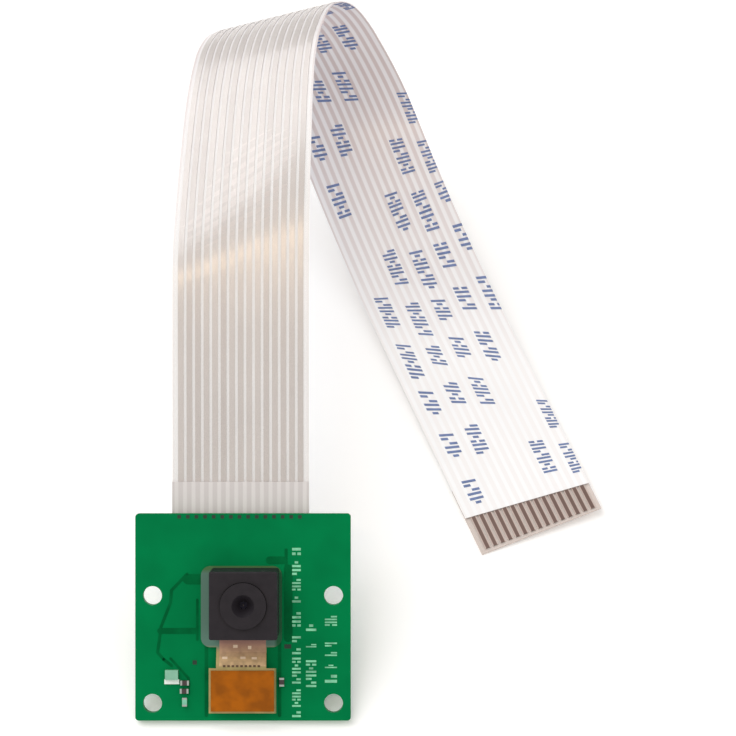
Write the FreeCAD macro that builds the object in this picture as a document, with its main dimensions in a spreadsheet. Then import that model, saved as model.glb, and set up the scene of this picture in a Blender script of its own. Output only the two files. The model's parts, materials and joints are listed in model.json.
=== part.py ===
"""A small camera module: a tilted circuit board with its lens, the chips and the ribbon
connector on its back, and the flat ribbon cable that loops over behind it.

Sizes are in millimetres. The board's pieces are drawn flat, in the board's own frame: X along
its lower edge, Y up the board and Z out of its front, from the middle of the lower edge of its
back face. One placement leans them all back on that edge. The ribbon is drawn where it lies,
in the frame of the table: Z up from the table, Y away behind the board.
"""
import FreeCAD
import Part
import math
import os
import Sketcher

from FreeCAD import Vector

doc = FreeCAD.newDocument("camera_module")
sheet = doc.addObject("Spreadsheet::Sheet", "sizes")

# Each driving size is written once, here, and has its meaning beside it.
SIZES = (
    ("board_tilt", 32.0, "lean of the board, in degrees from the table"),
    ("board_width", 25.0, "board, along X"),
    ("board_height", 24.0, "board, along Y"),
    ("board_thickness", 1.0, "board"),
    ("board_corner", 0.4, "radius of the board's corners"),
    ("hole_radius", 1.1, "mounting holes"),
    ("hole_inset", 2.0, "mounting holes from the board's sides"),
    ("hole_low", 2.0, "lower holes from the lower edge"),
    ("hole_rise", 12.5, "upper holes above the lower ones"),
    ("lens_up", 13.85, "optical axis above the lower edge"),
    ("lens_shift", 0.3, "optical axis to the right of the board's middle"),
    ("pad_side", 8.0, "foam pad under the sensor"),
    ("pad_thickness", 0.2, "foam pad"),
    ("tail_thickness", 0.15, "flexible tail"),
    ("tail_side", 9.4, "square end of the tail, under the sensor"),
    ("tail_shift", 0.46, "square end's middle to the left of the optical axis"),
    ("tail_drop", 0.59, "square end's middle below the optical axis"),
    ("tail_corner", 1.1, "corner radius of the square end"),
    ("neck_width", 5.8, "neck of the tail"),
    ("wing_width", 7.8, "wide end of the tail, over the socket"),
    ("wing_height", 5.2, "wide end of the tail, along Y"),
    ("wing_low", 1.0, "wide end above the board's lower edge"),
    ("wing_border", 0.25, "border of tail that shows round its stiffener"),
    ("plate_thickness", 0.25, "stiffener on the wide end"),
    ("socket_width", 7.0, "socket on the board"),
    ("socket_height", 3.4, "socket, along Y"),
    ("socket_rise", 0.6, "socket above the board"),
    ("socket_wall", 0.45, "wall round the socket's trough"),
    ("plug_play", 0.06, "gap between plug and trough"),
    ("plug_lift", 0.25, "plug's back above the socket's rim"),
    ("tail_pitch", 0.4, "solder tails of the socket"),
    ("sensor_side", 5.6, "image sensor"),
    ("sensor_thickness", 0.65, "image sensor"),
    ("cover_side", 5.2, "cover glass on the sensor"),
    ("cover_thickness", 0.4, "cover glass"),
    ("holder_side", 7.8, "lens holder"),
    ("holder_rise", 4.65, "lens holder, above the tail"),
    ("holder_edge", 0.25, "rounding of the holder's upper edges"),
    ("cavity_side", 6.7, "room for the sensor in the holder"),
    ("cavity_depth", 1.6, "room for the sensor"),
    ("filter_side", 6.3, "infrared filter"),
    ("filter_thickness", 0.3, "infrared filter"),
    ("filter_play", 0.05, "gap round the filter"),
    ("barrel_radius", 2.65, "lens barrel"),
    ("barrel_play", 0.05, "gap between barrel and holder"),
    ("barrel_length", 2.9, "lens barrel"),
    ("barrel_proud", 0.35, "barrel's top beyond the holder's top"),
    ("rear_radius", 2.25, "rear lens element"),
    ("rear_thickness", 0.55, "rear lens element"),
    ("ring_thickness", 0.15, "ring that keeps the elements in"),
    ("ring_wall", 0.55, "ring, across"),
    ("middle_radius", 1.75, "middle lens element"),
    ("middle_thickness", 0.5, "middle lens element"),
    ("front_radius", 1.3, "front lens element"),
    ("front_thickness", 0.3, "front lens element"),
    ("element_play", 0.05, "gap round a lens element"),
    ("element_curve", 12.0, "radius of the elements' faces"),
    ("stop_thickness", 0.1, "aperture stop"),
    ("stop_radius", 0.45, "hole of the aperture stop"),
    ("mouth_radius", 1.3, "funnel over the aperture, at the top"),
    ("ribbon_shift", -0.4, "ribbon and its connector off the board's middle"),
    ("ways", 15, "conductors in the ribbon"),
    ("pitch", 1.0, "from conductor to conductor"),
    ("conductor_width", 0.66, "conductor"),
    ("conductor_thickness", 0.1, "conductor"),
    ("film_thickness", 0.1, "each of the ribbon's two films"),
    ("bare_length", 4.0, "bare contacts at each end"),
    ("stiffener_thickness", 0.2, "stiffeners at the ribbon's ends"),
    ("stiffener_length", 8.0, "stiffeners at the ribbon's ends"),
    ("stiffener_lead", 0.4, "far stiffener beyond its contacts"),
    ("seat_depth", 1.0, "ribbon's end above the housing's lower side"),
    ("seat_back", 1.3, "ribbon's middle behind the board"),
    ("seat_room", 0.2, "ribbon's end to the end of its slot"),
    ("housing_ends", 2.0, "connector housing beyond each side of the ribbon"),
    ("housing_back", 2.6, "connector housing, from the board"),
    ("housing_low", 18.6, "connector housing's lower side above the lower edge"),
    ("housing_depth", 3.3, "connector housing, along Y"),
    ("slot_play", 0.15, "gap beside the ribbon in its slot"),
    ("slot_front", 0.55, "wall between the slot and the board"),
    ("slot_back", 0.55, "wall behind the slot"),
    ("groove_width", 0.4, "grooves for the contacts"),
    ("contact_width", 0.3, "contacts, across"),
    ("latch_travel", 1.0, "way that the latch opens"),
    ("latch_depth", 1.45, "latch's bar, along Y"),
    ("latch_gap", 0.05, "latch from all that it slides past"),
    ("latch_window", 0.7, "window for the ribbon, front to back"),
    ("tongue_thickness", 0.3, "tongue that holds the ribbon down"),
    ("tongue_length", 2.0, "tongue"),
    ("arm_width", 0.7, "arms at the latch's ends"),
    ("arm_length", 2.2, "arms"),
    ("arm_height", 1.0, "arms, front to back"),
    ("anchor_width", 0.9, "solder anchors beside the housing"),
    ("anchor_height", 1.8, "solder anchors, along Y"),
    ("anchor_thickness", 0.2, "solder anchors"),
    ("chip_length", 1.0, "chip capacitors and resistors"),
    ("chip_width", 0.55, "chip capacitors and resistors"),
    ("chip_rise", 0.45, "chip capacitors"),
    ("resistor_rise", 0.35, "chip resistors"),
    ("cap_length", 0.22, "metal caps of a chip"),
    ("led_length", 1.5, "indicator lamp"),
    ("led_width", 1.1, "indicator lamp"),
    ("led_rise", 0.55, "indicator lamp"),
    ("regulator_length", 2.9, "voltage regulators"),
    ("regulator_width", 1.6, "voltage regulators"),
    ("regulator_rise", 1.0, "voltage regulators"),
    ("leg_pitch", 0.95, "legs of a regulator"),
    ("leg_reach", 0.6, "legs beyond the body"),
    ("leg_width", 0.4, "legs"),
    ("leg_thickness", 0.13, "legs"),
    ("oscillator_length", 3.2, "oscillator"),
    ("oscillator_width", 2.5, "oscillator"),
    ("oscillator_rise", 0.6, "oscillator's ceramic base"),
    ("lid_border", 0.25, "oscillator's base round its lid"),
    ("lid_rise", 0.2, "oscillator's lid"),
    ("bead_length", 1.6, "ferrite bead"),
    ("bead_width", 0.8, "ferrite bead"),
    ("bead_rise", 0.8, "ferrite bead"),
)
for row, (alias, number, meaning) in enumerate(SIZES, 1):
    sheet.set(f"A{row}", meaning)
    sheet.set(f"B{row}", str(number))
    sheet.setAlias(f"B{row}", alias)
doc.recompute()


def size(alias):
    """A size from the sheet, as a number."""
    return float(sheet.get(alias))


def bind(piece, formulas):
    """Sets properties of a piece, a formula of the sheet's aliases or a plain number each."""
    for prop, formula in formulas.items():
        piece.setExpression(prop, str(formula))


# Levels above the board's back face, and places that several pieces share.
FRONT = "sizes.board_thickness"
PAD_TOP = f"({FRONT} + sizes.pad_thickness)"
TAIL_TOP = f"({PAD_TOP} + sizes.tail_thickness)"
FILTER_LOW = f"({TAIL_TOP} + sizes.cavity_depth)"
FILTER_TOP = f"({FILTER_LOW} + sizes.filter_thickness)"
HOLDER_TOP = f"({TAIL_TOP} + sizes.holder_rise)"
BARREL_TOP = f"({HOLDER_TOP} + sizes.barrel_proud)"
BARREL_LOW = f"({BARREL_TOP} - sizes.barrel_length)"
WING_LOW = f"({FRONT} + sizes.socket_rise + sizes.plug_lift)"
WING_MIDDLE = "(sizes.wing_low + sizes.wing_height / 2)"
HOUSING_MIDDLE = "(sizes.housing_low + sizes.housing_depth / 2)"
MOUTH = "(sizes.housing_low + sizes.housing_depth)"
LATCH_LOW = f"({MOUTH} + sizes.latch_gap)"
LATCH_TOP = f"({LATCH_LOW} + sizes.latch_depth)"
RIBBON_WIDTH = "((sizes.ways + 1) * sizes.pitch)"
HOUSING_WIDTH = f"({RIBBON_WIDTH} + 2 * sizes.housing_ends)"
SLOT_WIDTH = f"({RIBBON_WIDTH} + 2 * sizes.slot_play)"
SLOT_END = "(sizes.housing_low + sizes.seat_depth - sizes.seat_room)"
# the ribbon's stiffened side in the connector, and the face of the tongue that holds it down
RIBBON_FRONT = (
    "(-sizes.seat_back + sizes.conductor_thickness / 2 + sizes.film_thickness"
    " + sizes.stiffener_thickness)"
)
TONGUE_LOW = f"({RIBBON_FRONT} + sizes.latch_gap)"
# the table frame's origin lies under the middle of the board and all that it carries
TILT_SINE = "sin(sizes.board_tilt)"
TILT_COSINE = "cos(sizes.board_tilt)"
LATCH_BACK = "(sizes.housing_back - sizes.latch_gap)"
FRAME_BACK = f"(({FRONT} - {LATCH_BACK}) * {TILT_SINE} - {LATCH_TOP} * {TILT_COSINE}) / 2"


def lean(piece):
    """Leans a piece of the board back on the board's lower edge."""
    piece.Placement = FreeCAD.Placement(Vector(0, 0, 0), FreeCAD.Rotation(Vector(1, 0, 0), 1))
    bind(piece, {"Placement.Rotation.Angle": "sizes.board_tilt", "Placement.Base.y": FRAME_BACK})


def group(name, pieces):
    """Pieces that stay apart, in one node."""
    together = doc.addObject("Part::Compound", name)
    together.Links = list(pieces)
    return together


nodes = []


def node(piece, name, on_board=True):
    """Names a finished piece and puts it on the list of those that are written."""
    if piece.TypeId == "Part::Box":
        piece = group(f"{piece.Name}_piece", [piece])
    piece.Label = name
    if on_board:
        lean(piece)
    nodes.append(piece)
    return piece


def block(name, middle, length, width, low, height):
    """A box round a middle in X and Y, from a level upwards."""
    box = doc.addObject("Part::Box", name)
    bind(box, {"Length": length, "Width": width, "Height": height})
    bind(box, {
        "Placement.Base.x": f"({middle[0]}) - ({length}) / 2",
        "Placement.Base.y": f"({middle[1]}) - ({width}) / 2",
        "Placement.Base.z": low,
    })
    return box


def rod(name, middle, radius, low, height):
    """An upright cylinder."""
    cylinder = doc.addObject("Part::Cylinder", name)
    bind(cylinder, {
        "Radius": radius,
        "Height": height,
        "Placement.Base.x": middle[0],
        "Placement.Base.y": middle[1],
        "Placement.Base.z": low,
    })
    return cylinder


def ball(name, middle, radius, centre_level):
    """A sphere, from which a lens element gets a curved face."""
    sphere = doc.addObject("Part::Sphere", name)
    bind(sphere, {
        "Radius": radius,
        "Placement.Base.x": middle[0],
        "Placement.Base.y": middle[1],
        "Placement.Base.z": centre_level,
    })
    return sphere


def cut(name, base, *tools):
    """A base less its tools."""
    piece = base
    for number, tool in enumerate(tools):
        result = doc.addObject("Part::Cut", f"{name}_{number}")
        result.Base = piece
        result.Tool = tool
        piece = result
    return piece


def common(name, *pieces):
    """What several pieces share."""
    piece = doc.addObject("Part::MultiCommon", name)
    piece.Shapes = list(pieces)
    return piece


def fuse(name, *pieces):
    """Several pieces as one."""
    piece = doc.addObject("Part::MultiFuse", name)
    piece.Shapes = list(pieces)
    piece.Refine = True
    return piece


def origin_plane(body, role):
    """One of a body's own origin planes."""
    return next(p for p in body.Origin.OriginFeatures if p.Role == role)


def rectangle(body, name, middle, length, width, level):
    """A sketch of a rectangle, in a plane parallel to the board at a level."""
    sketch = body.newObject("Sketcher::SketchObject", name)
    sketch.AttachmentSupport = [(origin_plane(body, "XY_Plane"), "")]
    sketch.MapMode = "FlatFace"
    corners = [Vector(-1, -1, 0), Vector(1, -1, 0), Vector(1, 1, 0), Vector(-1, 1, 0)]
    for start, end in zip(corners, corners[1:] + corners[:1]):
        sketch.addGeometry(Part.LineSegment(start, end), False)
    for side in range(4):
        sketch.addConstraint(Sketcher.Constraint("Coincident", side, 2, (side + 1) % 4, 1))
        direction = "Vertical" if side % 2 else "Horizontal"
        sketch.addConstraint(Sketcher.Constraint(direction, side))
    sketch.addConstraint(Sketcher.Constraint("Symmetric", 0, 1, 1, 2, -1, 1))
    across = sketch.addConstraint(Sketcher.Constraint("DistanceX", 0, 1, 0, 2, 2.0))
    up = sketch.addConstraint(Sketcher.Constraint("DistanceY", 1, 1, 1, 2, 2.0))
    bind(sketch, {
        f"Constraints[{across}]": length,
        f"Constraints[{up}]": width,
        "AttachmentOffset.Base.x": middle[0],
        "AttachmentOffset.Base.y": middle[1],
        "AttachmentOffset.Base.z": level,
    })
    return sketch


def pad(body, name, sketch, length):
    """Adds material from a sketch, towards the front."""
    feature = body.newObject("PartDesign::Pad", name)
    feature.Profile = sketch
    bind(feature, {"Length": length})
    sketch.Visibility = False
    return feature


def pocket(body, name, sketch, length):
    """Takes material away from a sketch, towards the back."""
    feature = body.newObject("PartDesign::Pocket", name)
    feature.Profile = sketch
    bind(feature, {"Length": length})
    sketch.Visibility = False
    return feature


def edges_where(feature, test):
    """The names of a feature's edges that pass a test of their two ends."""
    doc.recompute()
    names = []
    for number, edge in enumerate(feature.Shape.Edges, 1):
        ends = [vertex.Point for vertex in edge.Vertexes]
        if len(ends) == 2 and test(ends[0], ends[1]):
            names.append(f"Edge{number}")
    return names


def upright(start, end):
    """True for an edge that runs from back to front."""
    return (end - start).Length - abs(end.z - start.z) < 1e-6


def round_edges(body, name, feature, edges, radius):
    """Rounds some of a feature's edges."""
    fillet = body.newObject("PartDesign::Fillet", name)
    fillet.Base = (feature, edges)
    bind(fillet, {"Radius": radius})
    return fillet


# The circuit board, with its four mounting holes.
board = doc.addObject("PartDesign::Body", "circuit_board")
board_middle = ("0", "sizes.board_height / 2")
outline = rectangle(
    board, "board_outline", board_middle, "sizes.board_width", "sizes.board_height", "0"
)
plate = pad(board, "board_plate", outline, "sizes.board_thickness")
round_edges(board, "board_corners", plate, edges_where(plate, upright), "sizes.board_corner")
holes = board.newObject("Sketcher::SketchObject", "board_holes")
holes.AttachmentSupport = [(origin_plane(board, "XY_Plane"), "")]
holes.MapMode = "FlatFace"
for x, y in ((8, 2), (8, 12), (-8, 2), (-8, 12)):
    holes.addGeometry(Part.Circle(Vector(x, y, 0), Vector(0, 0, 1), 1), False)
for circle in (1, 2, 3):
    holes.addConstraint(Sketcher.Constraint("Equal", 0, circle))
for right, left in ((0, 2), (1, 3)):
    holes.addConstraint(Sketcher.Constraint("Symmetric", right, 3, left, 3, -2))
radius = holes.addConstraint(Sketcher.Constraint("Radius", 0, 1.0))
low_x = holes.addConstraint(Sketcher.Constraint("DistanceX", -1, 1, 0, 3, 8.0))
low_y = holes.addConstraint(Sketcher.Constraint("DistanceY", -1, 1, 0, 3, 2.0))
high_x = holes.addConstraint(Sketcher.Constraint("DistanceX", -1, 1, 1, 3, 8.0))
high_y = holes.addConstraint(Sketcher.Constraint("DistanceY", -1, 1, 1, 3, 12.0))
HOLE_X = "sizes.board_width / 2 - sizes.hole_inset"
bind(holes, {
    f"Constraints[{radius}]": "sizes.hole_radius",
    f"Constraints[{low_x}]": HOLE_X,
    f"Constraints[{low_y}]": "sizes.hole_low",
    f"Constraints[{high_x}]": HOLE_X,
    f"Constraints[{high_y}]": "sizes.hole_low + sizes.hole_rise",
})
drill = board.newObject("PartDesign::Pocket", "board_drill")
drill.Profile = holes
drill.Type = "ThroughAll"
drill.Reversed = True
holes.Visibility = False
node(board, "circuit_board")

# The foam pad that holds the sensor's end of the tail on the board.
LENS = ("sizes.lens_shift", "sizes.lens_up")
SQUARE = ("sizes.lens_shift - sizes.tail_shift", "sizes.lens_up - sizes.tail_drop")
node(
    block("pad", SQUARE, "sizes.pad_side", "sizes.pad_side", FRONT, "sizes.pad_thickness"),
    "adhesive_pad",
)

# The flexible tail: a square end under the sensor, a neck that climbs, and a wide end
# over the socket.
tail_square = doc.addObject("PartDesign::Body", "tail_square")
square = rectangle(
    tail_square, "tail_square_outline", SQUARE, "sizes.tail_side", "sizes.tail_side", PAD_TOP
)
square_pad = pad(tail_square, "tail_square_pad", square, "sizes.tail_thickness")
round_edges(
    tail_square, "tail_corners", square_pad, edges_where(square_pad, upright), "sizes.tail_corner"
)
wing = block(
    "tail_wing", ("0", WING_MIDDLE), "sizes.wing_width", "sizes.wing_height", WING_LOW,
    "sizes.tail_thickness",
)


def neck_shape():
    """The neck: one sheet that leaves the square end, climbs in an S and joins the wide end."""
    low = size("board_thickness") + size("pad_thickness")
    high = size("board_thickness") + size("socket_rise") + size("plug_lift")
    start = size("lens_up") - size("tail_drop") - size("tail_side") / 2
    end = size("wing_low") + size("wing_height")
    thickness = size("tail_thickness")
    overlap = thickness
    reach = (start - end) / 2

    def s_line(lift):
        points = [
            Vector(0, start, low + lift),
            Vector(0, start - reach, low + lift),
            Vector(0, end + reach, high + lift),
            Vector(0, end, high + lift),
        ]
        curve = Part.BezierCurve()
        curve.setPoles(points)
        first = Part.makeLine(Vector(0, start + overlap, low + lift), points[0])
        last = Part.makeLine(points[-1], Vector(0, end - overlap, high + lift))
        return [first, curve.toShape(), last]

    under = s_line(0.0)
    over = s_line(thickness)
    closing = [
        Part.makeLine(Vector(0, start + overlap, low), Vector(0, start + overlap, low + thickness)),
        Part.makeLine(Vector(0, end - overlap, high), Vector(0, end - overlap, high + thickness)),
    ]
    profile = Part.Face(Part.Wire(Part.__sortEdges__(under + over + closing)))
    sheet_of_neck = profile.extrude(Vector(size("neck_width"), 0, 0))
    middle = size("lens_shift") - size("tail_shift")
    sheet_of_neck.translate(Vector(middle - size("neck_width") / 2, 0, 0))
    return sheet_of_neck


neck = doc.addObject("Part::Feature", "tail_neck")
neck.Shape = neck_shape()
node(fuse("tail", tail_square, neck, wing), "flex_tail")

# The stiffener glued on the wide end, with a border of the tail round it.
node(
    block(
        "plate", ("0", WING_MIDDLE), "sizes.wing_width - 2 * sizes.wing_border",
        "sizes.wing_height - 2 * sizes.wing_border", f"{WING_LOW} + sizes.tail_thickness",
        "sizes.plate_thickness",
    ),
    "flex_stiffener",
)

# The socket on the board and the tail's plug, which fills the socket's trough.
SOCKET = ("0", WING_MIDDLE)
TROUGH_LENGTH = "(sizes.socket_width - 2 * sizes.socket_wall)"
TROUGH_WIDTH = "(sizes.socket_height - 2 * sizes.socket_wall)"
TROUGH_FLOOR = f"({FRONT} + sizes.socket_rise / 3)"
socket = doc.addObject("PartDesign::Body", "board_socket")
socket_outline = rectangle(
    socket, "socket_outline", SOCKET, "sizes.socket_width", "sizes.socket_height", FRONT
)
pad(socket, "socket_block", socket_outline, "sizes.socket_rise")
trough = rectangle(
    socket, "socket_trough_outline", SOCKET, TROUGH_LENGTH, TROUGH_WIDTH,
    f"{FRONT} + sizes.socket_rise",
)
pocket(socket, "socket_trough", trough, "sizes.socket_rise * 2 / 3")
node(socket, "board_socket")
plug_back = block(
    "plug_back", SOCKET, TROUGH_LENGTH, TROUGH_WIDTH, f"{FRONT} + sizes.socket_rise",
    "sizes.plug_lift",
)
plug_core = block(
    "plug_core", SOCKET, f"{TROUGH_LENGTH} - 2 * sizes.plug_play",
    f"{TROUGH_WIDTH} - 2 * sizes.plug_play", TROUGH_FLOOR, f"{WING_LOW} - {TROUGH_FLOOR}",
)
node(fuse("plug", plug_back, plug_core), "flex_plug")

# The socket's solder tails, in a row at each long side.
tails = []
tail_count = int((size("socket_width") - 2 * size("socket_wall")) / size("tail_pitch"))
for side in (-1, 1):
    for number in range(tail_count):
        across = f"({number} - {(tail_count - 1) / 2}) * sizes.tail_pitch"
        along = f"{WING_MIDDLE} + {side} * (sizes.socket_height + sizes.tail_pitch) / 2"
        tails.append(block(
            f"socket_tail_{side + 1}_{number}", (across, along), "sizes.tail_pitch / 2",
            "sizes.tail_pitch", FRONT, "sizes.leg_thickness",
        ))
node(group("socket_tails", tails), "socket_contacts")

# The image sensor and its cover glass.
node(
    block(
        "sensor", LENS, "sizes.sensor_side", "sizes.sensor_side", TAIL_TOP,
        "sizes.sensor_thickness",
    ),
    "image_sensor",
)
node(
    block(
        "cover", LENS, "sizes.cover_side", "sizes.cover_side",
        f"{TAIL_TOP} + sizes.sensor_thickness", "sizes.cover_thickness",
    ),
    "sensor_cover_glass",
)

# The lens holder: a moulded square block, open below for the sensor, with a seat for the
# filter and a round bore for the barrel.
holder = doc.addObject("PartDesign::Body", "lens_holder")
holder_outline = rectangle(
    holder, "holder_outline", LENS, "sizes.holder_side", "sizes.holder_side", TAIL_TOP
)
holder_block = pad(holder, "holder_block", holder_outline, "sizes.holder_rise")
round_edges(
    holder, "holder_sides", holder_block, edges_where(holder_block, upright), "sizes.holder_edge"
)
doc.recompute()
holder_top = size("board_thickness") + size("pad_thickness") + size("tail_thickness")
holder_top += size("holder_rise")
rim = [
    f"Edge{number}"
    for number, edge in enumerate(holder.Tip.Shape.Edges, 1)
    if all(abs(vertex.Z - holder_top) < 1e-6 for vertex in edge.Vertexes)
]
round_edges(holder, "holder_rim", holder.Tip, rim, "sizes.holder_edge * 0.8")
cavity = rectangle(holder, "cavity_outline", LENS, "sizes.cavity_side", "sizes.cavity_side",
                   FILTER_LOW)
pocket(holder, "cavity", cavity, "sizes.cavity_depth")
FILTER_SEAT = "(sizes.filter_side + 2 * sizes.filter_play)"
seat = rectangle(holder, "seat_outline", LENS, FILTER_SEAT, FILTER_SEAT, FILTER_TOP)
pocket(holder, "filter_seat", seat, "sizes.filter_thickness")
BORE_RADIUS = "(sizes.barrel_radius + sizes.barrel_play)"
bore = holder.newObject("Sketcher::SketchObject", "bore_outline")
bore.AttachmentSupport = [(origin_plane(holder, "XY_Plane"), "")]
bore.MapMode = "FlatFace"
bore.addGeometry(Part.Circle(Vector(0, 0, 0), Vector(0, 0, 1), 1), False)
bore.addConstraint(Sketcher.Constraint("Coincident", 0, 3, -1, 1))
bore_radius = bore.addConstraint(Sketcher.Constraint("Radius", 0, 1.0))
bind(bore, {
    f"Constraints[{bore_radius}]": BORE_RADIUS,
    "AttachmentOffset.Base.x": LENS[0],
    "AttachmentOffset.Base.y": LENS[1],
    "AttachmentOffset.Base.z": HOLDER_TOP,
})
pocket(holder, "barrel_bore", bore, f"{HOLDER_TOP} - {FILTER_TOP}")
node(holder, "lens_holder")
node(
    block(
        "filter", LENS, "sizes.filter_side", "sizes.filter_side", FILTER_LOW,
        "sizes.filter_thickness",
    ),
    "infrared_filter",
)

# The lens barrel, turned with a stepped bore for its elements and a funnel over the stop.
REAR_LOW = f"({BARREL_LOW} + sizes.ring_thickness)"
REAR_TOP = f"({REAR_LOW} + sizes.rear_thickness)"
MIDDLE_LOW = f"({REAR_TOP} + 2 * sizes.element_play)"
MIDDLE_TOP = f"({MIDDLE_LOW} + sizes.middle_thickness)"
STOP_LOW = f"({MIDDLE_TOP} + sizes.front_thickness)"
STOP_TOP = f"({STOP_LOW} + sizes.stop_thickness)"
PLAY = "sizes.element_play"
barrel_body = rod("barrel_body", LENS, "sizes.barrel_radius", BARREL_LOW, "sizes.barrel_length")
rear_bore = rod(
    "rear_bore", LENS, f"sizes.rear_radius + {PLAY}", BARREL_LOW, f"{REAR_TOP} - {BARREL_LOW}"
)
middle_bore = rod(
    "middle_bore", LENS, f"sizes.middle_radius + {PLAY}", BARREL_LOW,
    f"{MIDDLE_TOP} - {BARREL_LOW}",
)
front_bore = rod(
    "front_bore", LENS, f"sizes.front_radius + {PLAY}", BARREL_LOW, f"{STOP_TOP} - {BARREL_LOW}"
)
funnel = doc.addObject("Part::Cone", "funnel")
bind(funnel, {
    "Radius1": "sizes.stop_radius",
    "Radius2": "sizes.mouth_radius",
    "Height": f"{BARREL_TOP} - {STOP_TOP}",
    "Placement.Base.x": LENS[0],
    "Placement.Base.y": LENS[1],
    "Placement.Base.z": STOP_TOP,
})
node(cut("barrel", barrel_body, rear_bore, middle_bore, front_bore, funnel), "lens_barrel")

# The ring that keeps the elements in, and the thin aperture stop.
ring_blank = rod("ring_blank", LENS, "sizes.rear_radius", BARREL_LOW, "sizes.ring_thickness")
ring_hole = rod(
    "ring_hole", LENS, "sizes.rear_radius - sizes.ring_wall", BARREL_LOW, "sizes.ring_thickness"
)
node(cut("ring", ring_blank, ring_hole), "retaining_ring")
stop_blank = rod("stop_blank", LENS, "sizes.front_radius", STOP_LOW, "sizes.stop_thickness")
stop_hole = rod("stop_hole", LENS, "sizes.stop_radius", STOP_LOW, "sizes.stop_thickness")
node(cut("stop", stop_blank, stop_hole), "aperture_stop")


def element(name, radius, low, thickness):
    """A lens element: a round blank whose two faces bulge like parts of a sphere."""
    blank = rod(f"{name}_blank", LENS, radius, low, thickness)
    lower = ball(f"{name}_lower", LENS, "sizes.element_curve", f"{low} + sizes.element_curve")
    upper = ball(
        f"{name}_upper", LENS, "sizes.element_curve", f"{low} + {thickness} - sizes.element_curve"
    )
    return common(f"{name}_common", blank, lower, upper)


node(element("rear", "sizes.rear_radius", REAR_LOW, "sizes.rear_thickness"), "rear_lens")
node(
    element("middle", "sizes.middle_radius", MIDDLE_LOW, "sizes.middle_thickness"), "middle_lens"
)
node(element("front", "sizes.front_radius", MIDDLE_TOP, "sizes.front_thickness"), "front_lens")

# The ribbon connector's housing: a block with a slot for the ribbon, grooves for the
# contacts through its lower wall, and a notch at each end for the latch's arms.
RIBBON_X = "sizes.ribbon_shift"
housing = doc.addObject("PartDesign::Body", "connector_housing")
housing_outline = rectangle(
    housing, "housing_outline", (RIBBON_X, HOUSING_MIDDLE), HOUSING_WIDTH,
    "sizes.housing_depth", "-sizes.housing_back",
)
pad(housing, "housing_block", housing_outline, "sizes.housing_back")
SLOT_TOP = "(-sizes.slot_front)"
SLOT_HEIGHT = "(sizes.housing_back - sizes.slot_front - sizes.slot_back)"
SLOT_DEPTH = f"({MOUTH} - {SLOT_END})"
slot = rectangle(
    housing, "slot_outline", (RIBBON_X, f"{SLOT_END} + {SLOT_DEPTH} / 2"), SLOT_WIDTH, SLOT_DEPTH,
    SLOT_TOP,
)
pocket(housing, "ribbon_slot", slot, SLOT_HEIGHT)
FIRST_WAY = "(sizes.ribbon_shift - (sizes.ways - 1) * sizes.pitch / 2)"
GROOVE_DEPTH = f"({SLOT_END} - sizes.housing_low)"
groove = rectangle(
    housing, "groove_outline", (FIRST_WAY, f"sizes.housing_low + {GROOVE_DEPTH} / 2"),
    "sizes.groove_width", GROOVE_DEPTH, "0",
)
first_groove = pocket(housing, "first_groove", groove, "sizes.housing_back - sizes.slot_back")
grooves = housing.newObject("PartDesign::LinearPattern", "grooves")
grooves.Originals = [first_groove]
grooves.Direction = (groove, ["H_Axis"])
grooves.Mode = "Spacing"
grooves.Occurrences = int(size("ways"))
bind(grooves, {"Offset": "sizes.pitch", "Occurrences": "sizes.ways"})
housing.Tip = grooves
NOTCH_WIDTH = "(sizes.arm_width + 2 * sizes.latch_gap)"
NOTCH_LENGTH = "(sizes.arm_length + 2 * sizes.latch_gap)"
NOTCH_TOP = "(-(sizes.housing_back - sizes.arm_height) / 2 + sizes.latch_gap)"
for side in (-1, 1):
    notch = rectangle(
        housing, f"notch_outline_{side + 1}",
        (
            f"{RIBBON_X} + {side} * ({HOUSING_WIDTH} - {NOTCH_WIDTH}) / 2",
            f"{MOUTH} - {NOTCH_LENGTH} / 2",
        ),
        NOTCH_WIDTH, NOTCH_LENGTH, NOTCH_TOP,
    )
    pocket(housing, f"notch_{side + 1}", notch, "sizes.arm_height + 2 * sizes.latch_gap")
node(housing, "connector_housing")

# The latch: a bar across the connector's mouth with a window for the ribbon, a tongue that
# holds the ribbon down, and two arms that run in the housing's notches.
LATCH_MIDDLE = f"({LATCH_LOW} + sizes.latch_depth / 2)"
LATCH_HEIGHT = "(sizes.housing_back - 2 * sizes.latch_gap)"
bar = block(
    "latch_bar", (RIBBON_X, LATCH_MIDDLE), HOUSING_WIDTH, "sizes.latch_depth",
    "-sizes.housing_back + sizes.latch_gap", LATCH_HEIGHT,
)
window = block(
    "latch_window_tool", (RIBBON_X, LATCH_MIDDLE), SLOT_WIDTH, "sizes.latch_depth",
    f"{TONGUE_LOW} - sizes.latch_window", "sizes.latch_window",
)
framed = cut("latch_frame", bar, window)
TONGUE_BASE = "(sizes.latch_gap + sizes.latch_depth / 4)"
tongue = block(
    "latch_tongue",
    (RIBBON_X, f"{MOUTH} + ({TONGUE_BASE} - sizes.tongue_length) / 2"),
    f"{RIBBON_WIDTH} - 2 * sizes.latch_gap", f"sizes.tongue_length + {TONGUE_BASE}",
    TONGUE_LOW, "sizes.tongue_thickness",
)
arms = [
    block(
        f"latch_arm_{side + 1}",
        (
            f"{RIBBON_X} + {side} * ({HOUSING_WIDTH} - sizes.arm_width) / 2",
            f"{MOUTH} + ({TONGUE_BASE} - sizes.arm_length) / 2",
        ),
        "sizes.arm_width", f"sizes.arm_length + {TONGUE_BASE}",
        "-(sizes.housing_back + sizes.arm_height) / 2", "sizes.arm_height",
    )
    for side in (-1, 1)
]
node(fuse("latch", framed, tongue, *arms), "connector_latch")


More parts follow.
